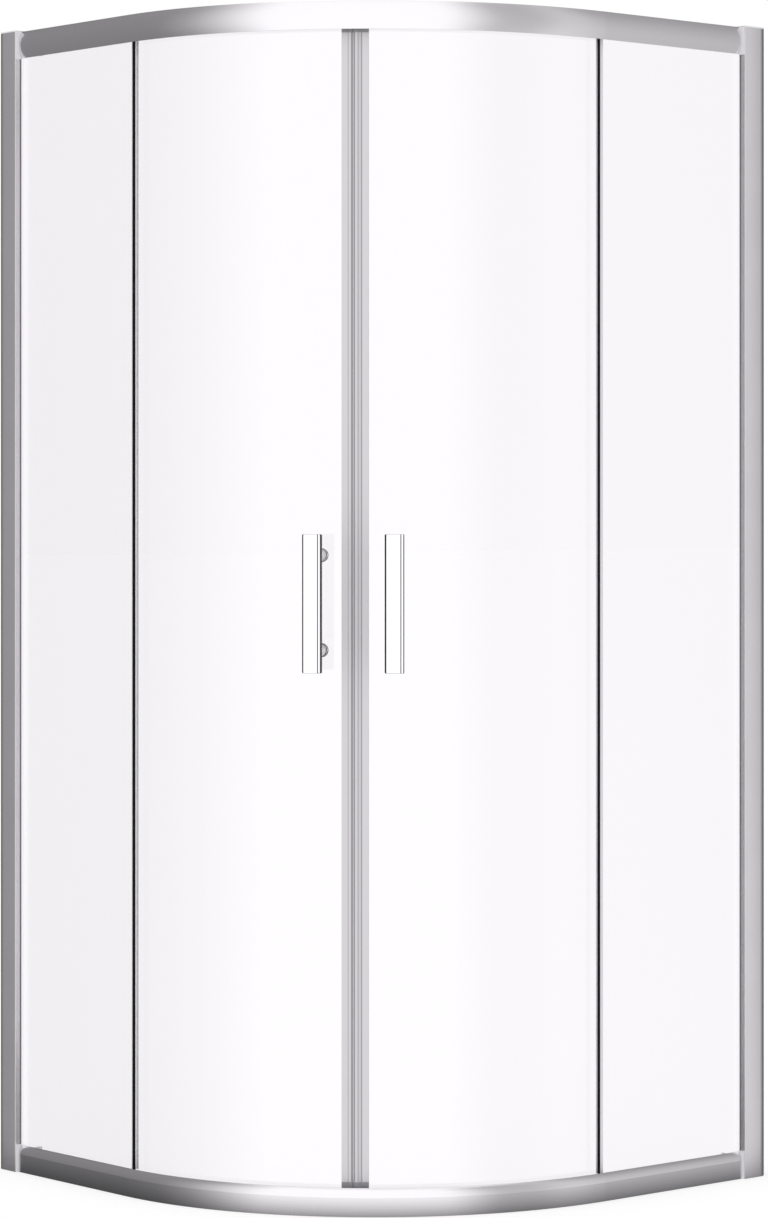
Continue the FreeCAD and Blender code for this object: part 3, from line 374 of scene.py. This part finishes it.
def handle_bar(name, side):
    """One bar: the outline drawn along z, with rounded ends. side is -1 for the left bar, 1 for the right."""
    mesh = bmesh.new()
    upper_end = []
    for step in range(END_STEPS + 1):
        turn = math.radians(90 * step / END_STEPS)
        upper_end.append((BAR_HALF_L - END_R + END_R * math.sin(turn), END_R * (1 - math.cos(turn))))
    lower_end = [(-z, inset) for z, inset in reversed(upper_end)]
    angle = math.pi / 4 + side * HANDLE_ALONG / STRIP_R
    across = Vector((math.cos(angle), math.sin(angle), 0))
    out = Vector((math.sin(angle), -math.cos(angle), 0))
    rings = []
    for z, inset in lower_end + upper_end:
        centre = Vector(BEND_CENTRE) + out * BAR_BACK_R + Vector((0, 0, BAR_Z + z))
        rings.append([mesh.verts.new(centre + across * u + out * v) for u, v in bar_outline(inset)])
    for lower, upper in zip(rings, rings[1:]):
        for i, vertex in enumerate(lower):
            following = (i + 1) % len(lower)
            side_face = mesh.faces.new((vertex, lower[following], upper[following], upper[i]))
            # The front chamfers and the groove take the painted shade in the second slot.
            side_face.material_index = 1 if i in PAINTED_SHADE_SIDES else 0
    mesh.faces.new(list(reversed(rings[0])))
    mesh.faces.new(rings[-1])
    bmesh.ops.recalc_face_normals(mesh, faces=mesh.faces)
    bar = object_from(mesh, name)
    bar.data.shade_smooth()
    bar.data.set_sharp_from_angle(angle=SHARP)
    broken = bar.modifiers.new("broken_edges", "BEVEL")
    broken.width = BREAK
    broken.segments = 2
    broken.limit_method = "ANGLE"
    broken.angle_limit = SHARP
    return bar


WIPE_MM = 20             # size of the wiping marks

# Bright chrome plate: mirrors its surroundings almost as they are, with faint wiping marks.
chrome, tree, shader = new_material("bright_chrome_plate", Base_Color=linear("#F4F4F6"), Metallic=1.0)
wiped = add(tree, "ShaderNodeTexNoise", {"Vector": place_on(tree), "Scale": 1000 / WIPE_MM, "Detail": 4.0})
uneven_gloss(tree, shader, wiped.outputs["Fac"], 0.03, 0.09)
# Painted shade on the front chamfers and in the groove: a dark metal colour that draws the bar's lines.
painted_edge_shade, tree, shader = new_material("painted_edge_shade_plate", Metallic=1.0)
brushed = grain(tree, shader, size_mm=0.5, depth_um=3)
uneven_gloss(tree, shader, brushed, 0.22, 0.34)
mottle(tree, shader, brushed, "#4C4A4F", "#57555A")
# Satin chrome on the washers against the glass: blasted before plating, so it shows one pale tone.
pearl, tree, shader = new_material("satin_chrome_plate", Base_Color=linear("#F4F4F6"), Metallic=0.8)
blasted = grain(tree, shader, size_mm=0.5, depth_um=5)
uneven_gloss(tree, shader, blasted, 0.42, 0.54)
for side, sign in (("left", -1), ("right", 1)):
    bar = handle_bar(side + "_handle_bar_milled", sign)
    bar.data.materials.append(chrome)
    # The second slot is the painted shade of the front chamfers and the groove.
    bar.data.materials.append(painted_edge_shade)
    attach(bar, side + "_door")
    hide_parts(side + "_handle_bar")
    finish_nodes(chrome, side + "_handle_bar", side + "_handle_posts", side + "_handle_cap_screws")
    finish_nodes(pearl, side + "_handle_washers")

# ---------------------------------------------------------------------------------------------
# Rollers. At the top, steel brackets whose pins carry nylon wheels that run in the rail; at the
# bottom, acetal blocks whose spring-loaded sliders carry the wheels and lift to unhook the door.

# Acetal: cool white, waxy and smooth from the mould.
acetal, tree, shader = new_material("moulded_acetal", Roughness=0.32)
mottle(tree, shader, grain(tree, shader, size_mm=1.2, depth_um=8), "#D2D3D6", "#DCDDDF")
# Nylon: warmer than acetal and a little rougher.
nylon, tree, shader = new_material("turned_nylon", Roughness=0.42)
mottle(tree, shader, grain(tree, shader, size_mm=0.8, depth_um=12), "#D8D6D0", "#E4E2DD")
for side in ("left", "right"):
    finish_nodes(steel, side + "_top_roller_brackets", side + "_top_roller_axles", side + "_roller_screws")
    finish_nodes(acetal, side + "_low_roller_housings")
    for end in ("lead", "tail"):
        finish_nodes(nylon, f"{side}_top_{end}_wheel", f"{side}_low_{end}_wheel")
        finish_nodes(acetal, f"{side}_low_{end}_slider")
        # A copy of the spring rides on the door at its rest length; the real spring shortens under the
        # housing's roof by as much as its slider lifts.
        node = f"{side}_low_{end}_spring"
        finish_nodes(steel, node)
        coil = bpy.data.objects.new(node + "_coil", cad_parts[node].data.copy())
        coil.matrix_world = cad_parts[node].matrix_world.copy()
        bpy.context.scene.collection.objects.link(coil)
        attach(coil, side + "_door")
        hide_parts(node)
        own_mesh(coil)

# ---------------------------------------------------------------------------------------------
# Studio. A white sweep that is pure white to the camera, and a ring of reflector cards that only
# polished surfaces see: white in front, dark to the left, grey to the right and darker behind,
# as a photographer stands them round chrome to draw its edges.

SKY_LEVEL = 0.86         # diffuse light from all round
RING_R = 7.0             # the ring of cards, from the enclosure's middle
RING_LOW = -7.0          # below the floor too, for what the undersides mirror
RING_HIGH = 9.0
RING_STEPS = 96
CARD_WHITE = 1.17        # makes up for what the metals absorb

world = bpy.data.worlds.new("white_sweep")
bpy.context.scene.world = world
world.use_nodes = True
tree = world.node_tree
rays = add(tree, "ShaderNodeLightPath")
seen = add(tree, "ShaderNodeMath", {0: rays.outputs["Is Camera Ray"], 1: rays.outputs["Is Glossy Ray"]},
           operation="ADD")
seen = add(tree, "ShaderNodeMath", {0: seen.outputs["Value"], 1: rays.outputs["Is Transmission Ray"]},
           operation="ADD", use_clamp=True)
level = add(tree, "ShaderNodeMapRange", {
    "Value": seen.outputs["Value"], "To Min": SKY_LEVEL, "To Max": 1.0})
background = tree.nodes["Background"]
background.inputs["Color"].default_value = (1.0, 1.0, 1.0, 1.0)
tree.links.new(level.outputs["Result"], background.inputs["Strength"])


def bare_material(name):
    """A material with no nodes yet."""
    material = bpy.data.materials.new(name)
    material.use_nodes = True
    material.node_tree.nodes.clear()
    return material, material.node_tree


def is_mirrored(tree):
    """1 for a ray that a surface has mirrored. A look straight through the glass isn't one."""
    rays = add(tree, "ShaderNodeLightPath")
    return add(tree, "ShaderNodeMath", {0: rays.outputs["Glossy Depth"], 1: 0.5},
               operation="GREATER_THAN").outputs["Value"]


# Reflector cards, by compass angle in degrees (0 is +X, 90 is +Y), with brightness at their foot and head.
CARDS = ((-180, 0.0, 0.0), (-163, 0.02, 0.03), (-156, 0.15, 0.27), (-142, 0.13, 0.28), (-125, 0.14, 0.28),
         (-112, 0.26, 0.38), (-101, 0.46, 0.60), (-91, 0.75, 0.84), (-83, 1.0, 1.0), (-18, 1.0, 1.0),
         (-9, 0.74, 0.68), (-1, 0.52, 0.42), (12, 0.56, 0.40), (24, 0.74, 0.50), (34, 0.71, 0.45),
         (41, 0.70, 0.31), (50, 0.50, 0.32), (62, 0.30, 0.26), (78, 0.05, 0.05), (100, 0.02, 0.02),
         (118, 0.02, 0.02), (130, 0.24, 0.30), (158, 0.24, 0.30), (170, 0.02, 0.02), (180, 0.0, 0.0))
ring_mesh = bmesh.new()
bmesh.ops.create_cone(ring_mesh, segments=RING_STEPS, radius1=RING_R, radius2=RING_R,
                      depth=RING_HIGH - RING_LOW, cap_ends=False)
bmesh.ops.translate(ring_mesh, verts=ring_mesh.verts, vec=(0, 0, (RING_HIGH + RING_LOW) / 2))
ring = object_from(ring_mesh, "reflector_cards")
cards, tree = bare_material("reflector_cards")
split = add(tree, "ShaderNodeSeparateXYZ", {"Vector": place_on(tree)})
compass = add(tree, "ShaderNodeMath", {0: split.outputs["Y"], 1: split.outputs["X"]}, operation="ARCTAN2")
share = add(tree, "ShaderNodeMapRange", {
    "Value": compass.outputs["Value"], "From Min": -math.pi, "From Max": math.pi})
ramps = []
for at in (1, 2):
    ramps.append(add(tree, "ShaderNodeValToRGB", {"Fac": share.outputs["Result"]}))
    stops(ramps[-1], [((card[0] + 180) / 360, (card[at], card[at], card[at], 1.0)) for card in CARDS])
up = add(tree, "ShaderNodeMapRange", {
    "Value": split.outputs["Z"], "From Min": RING_LOW, "From Max": RING_HIGH})
shade = add(tree, "ShaderNodeMix", {
    "Factor": up.outputs["Result"], "A": ramps[0].outputs["Color"], "B": ramps[1].outputs["Color"]},
    data_type="RGBA")
glow = add(tree, "ShaderNodeEmission", {"Color": shade.outputs["Result"], "Strength": CARD_WHITE})
clear = add(tree, "ShaderNodeBsdfTransparent")
lit_card = add(tree, "ShaderNodeMixShader", {
    "Fac": is_mirrored(tree), 1: clear.outputs["BSDF"], 2: glow.outputs["Emission"]})
add(tree, "ShaderNodeOutputMaterial", {"Surface": lit_card.outputs["Shader"]})
ring.data.materials.append(cards)
ring.visible_camera = False
ring.visible_diffuse = False
ring.visible_shadow = False
ring.visible_volume_scatter = False

# Floor: white to the camera apart from a faint contact shadow. Polished surfaces look through it to the
# cards, but see a painted shade close in front of the bottom rail, which the camera itself doesn't see.
FLOOR_HALF = 60.0
FLOOR_DROP = 0.0005      # keeps the floor clear of the rail's underside
FLOOR_MATT = 0.45        # the part that takes the shadow
FLOOR_LIT = 0.62         # the part that shines by itself
MIRRORED_SHADE_REACH = 0.19        # how far the painted shade reaches in front of the rail
MIRRORED_SHADE_SHARE = 0.76         # share of the mirrored light that the painted shade takes beside the rail
DARK_LEVEL = 0.02        # brightness of the painted shade itself

floor_mesh = bmesh.new()
bmesh.ops.create_grid(floor_mesh, x_segments=1, y_segments=1, size=FLOOR_HALF)
floor = object_from(floor_mesh, "floor")
floor.location.z = -FLOOR_DROP
sweep, tree = bare_material("white_floor")
radius = across_rail(tree)[0]
matt = add(tree, "ShaderNodeBsdfDiffuse", {"Color": (FLOOR_MATT, FLOOR_MATT, FLOOR_MATT, 1.0)})
lit = add(tree, "ShaderNodeEmission", {"Color": (1.0, 1.0, 1.0, 1.0), "Strength": FLOOR_LIT})
white = add(tree, "ShaderNodeAddShader", {0: matt.outputs["BSDF"], 1: lit.outputs["Emission"]})
# Painted shade, for mirrored rays only: darkest beside the rail, gone a short way in front.
away = add(tree, "ShaderNodeMapRange", {
    "Value": radius, "From Min": BEND_R, "From Max": BEND_R + MIRRORED_SHADE_REACH,
    "To Min": MIRRORED_SHADE_SHARE, "To Max": 0.0})
clear = add(tree, "ShaderNodeBsdfTransparent")
dark = add(tree, "ShaderNodeEmission", {"Color": (1.0, 1.0, 1.0, 1.0), "Strength": DARK_LEVEL})
shade = add(tree, "ShaderNodeMixShader", {
    "Fac": away.outputs["Result"], 1: clear.outputs["BSDF"], 2: dark.outputs["Emission"]})
by_ray = add(tree, "ShaderNodeMixShader", {
    "Fac": is_mirrored(tree), 1: white.outputs["Shader"], 2: shade.outputs["Shader"]})
add(tree, "ShaderNodeOutputMaterial", {"Surface": by_ray.outputs["Shader"]})
floor.data.materials.append(sweep)

# One broad softbox high in front gives the plastics and the floor some direction; metals don't mirror it.
SOFTBOX_W = 3.0
SOFTBOX_H = 2.0
SOFTBOX_WATTS = 15.0
SOFTBOX_AT = Vector((3.0, -4.4, 4.2))
SOFTBOX_AIM = Vector((0.0, 0.0, 0.8))

softbox = bpy.data.lights.new("softbox", "AREA")
softbox.shape = "RECTANGLE"
softbox.size = SOFTBOX_W
softbox.size_y = SOFTBOX_H
softbox.energy = SOFTBOX_WATTS
lamp = bpy.data.objects.new("softbox", softbox)
lamp.location = SOFTBOX_AT
lamp.rotation_euler = (SOFTBOX_AIM - SOFTBOX_AT).to_track_quat("-Z", "Y").to_euler()
lamp.visible_glossy = False
bpy.context.scene.collection.objects.link(lamp)

# Camera: level, about six metres off, close to where the photograph's outlines of both rails put it. It is
# turned towards the object, because the photograph's own shift would push it out of every other view.
CAMERA_AT = (4.831, -3.996, 1.086)
CAMERA_TURN = 48.131     # degrees from looking along +Y
SENSOR_MM = 36.0
LENS_MM = 114.1
SHIFT_X = -0.123
SHIFT_Y = -0.088

camera_data = bpy.data.cameras.new("camera")
camera_data.sensor_width = SENSOR_MM
camera_data.lens = LENS_MM
camera_data.shift_x = SHIFT_X
camera_data.shift_y = SHIFT_Y
camera_data.clip_start = 0.1
camera_data.clip_end = 200.0
camera = bpy.data.objects.new("camera", camera_data)
camera.location = CAMERA_AT
camera.rotation_euler = (math.radians(90), 0, math.radians(CAMERA_TURN))
bpy.context.scene.collection.objects.link(camera)
bpy.context.scene.camera = camera
bpy.context.scene.view_settings.view_transform = "Standard"
